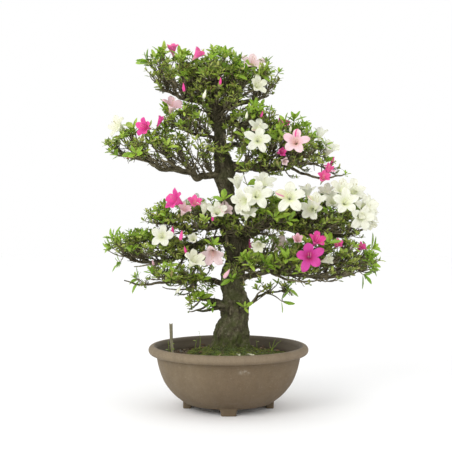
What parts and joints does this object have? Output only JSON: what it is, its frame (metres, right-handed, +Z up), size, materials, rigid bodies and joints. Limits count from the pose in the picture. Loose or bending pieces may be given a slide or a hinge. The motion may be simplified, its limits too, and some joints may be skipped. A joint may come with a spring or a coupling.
{
  "type": "bonsai tree in a pot",
  "caption": "Flowering azalea bonsai with layered pads of small leaves and five-petalled blooms, mossy tapering trunk, in a round unglazed pot on bracket feet.",
  "frame": {"origin": "on the ground under the middle of the whole plant's box; the pot's own axis is 32 mm towards -X and 7 mm towards -Y of it", "axes": "+Z up along the trunk, -Y towards the front of the tree, +X to its right as seen from the front"},
  "size_m": [0.56, 0.3338, 0.7357],
  "materials": {
    "pot": "matte",
    "screen": "matte",
    "wire": "satin",
    "gravel": "matte",
    "soil": "matte",
    "moss": "matte",
    "bamboo": "matte",
    "bark": "matte",
    "leaves": "matte",
    "petals_white": "matte",
    "petals_magenta": "matte",
    "petals_pink": "matte"
  },
  "bodies": {
    "root": {"anchor_wire": "wire", "bamboo_peg": "bamboo", "drain_screen": "screen", "flower_magenta_1": "petals_magenta", "flower_magenta_2": "petals_magenta", "flower_magenta_3": "petals_magenta", "flower_pink_1": "petals_pink", "flower_pink_2": "petals_pink", "flower_pink_3": "petals_pink", "flower_white_1": "petals_white", "flower_white_10": "petals_white", "flower_white_2": "petals_white", "flower_white_3": "petals_white", "flower_white_4": "petals_white", "flower_white_5": "petals_white", "flower_white_6": "petals_white", "flower_white_7": "petals_white", "flower_white_8": "petals_white", "flower_white_9": "petals_white", "gravel_layer": "gravel", "leaves_apex": "leaves", "leaves_back_low": "leaves", "leaves_back_mid": "leaves", "leaves_back_upper": "leaves", "leaves_crown_back": "leaves", "leaves_crown_left": "leaves", "leaves_crown_right": "leaves", "leaves_front_low": "leaves", "leaves_low_left": "leaves", "leaves_low_right": "leaves", "leaves_lowest_left": "leaves", "leaves_lowest_right": "leaves", "leaves_mid_left": "leaves", "leaves_mid_right": "leaves", "leaves_mid_right_inner": "leaves", "leaves_stub": "leaves", "leaves_upper_left": "leaves", "leaves_upper_left_inner": "leaves", "leaves_upper_right": "leaves", "leaves_upper_right_inner": "leaves", "limb_back_low": "bark", "limb_back_mid": "bark", "limb_back_upper": "bark", "limb_crown_back": "bark", "limb_crown_left": "bark", "limb_crown_right": "bark", "limb_low_left": "bark", "limb_low_right": "bark", "limb_lowest_left": "bark", "limb_mid_left": "bark", "limb_mid_right": "bark", "limb_upper_left": "bark", "limb_upper_left_inner": "bark", "limb_upper_right": "bark", "limb_upper_right_inner": "bark", "moss_mound": "moss", "pot": "pot", "screen_clip": "wire", "soil": "soil", "trunk": "bark"}
  },
  "joints": []
}
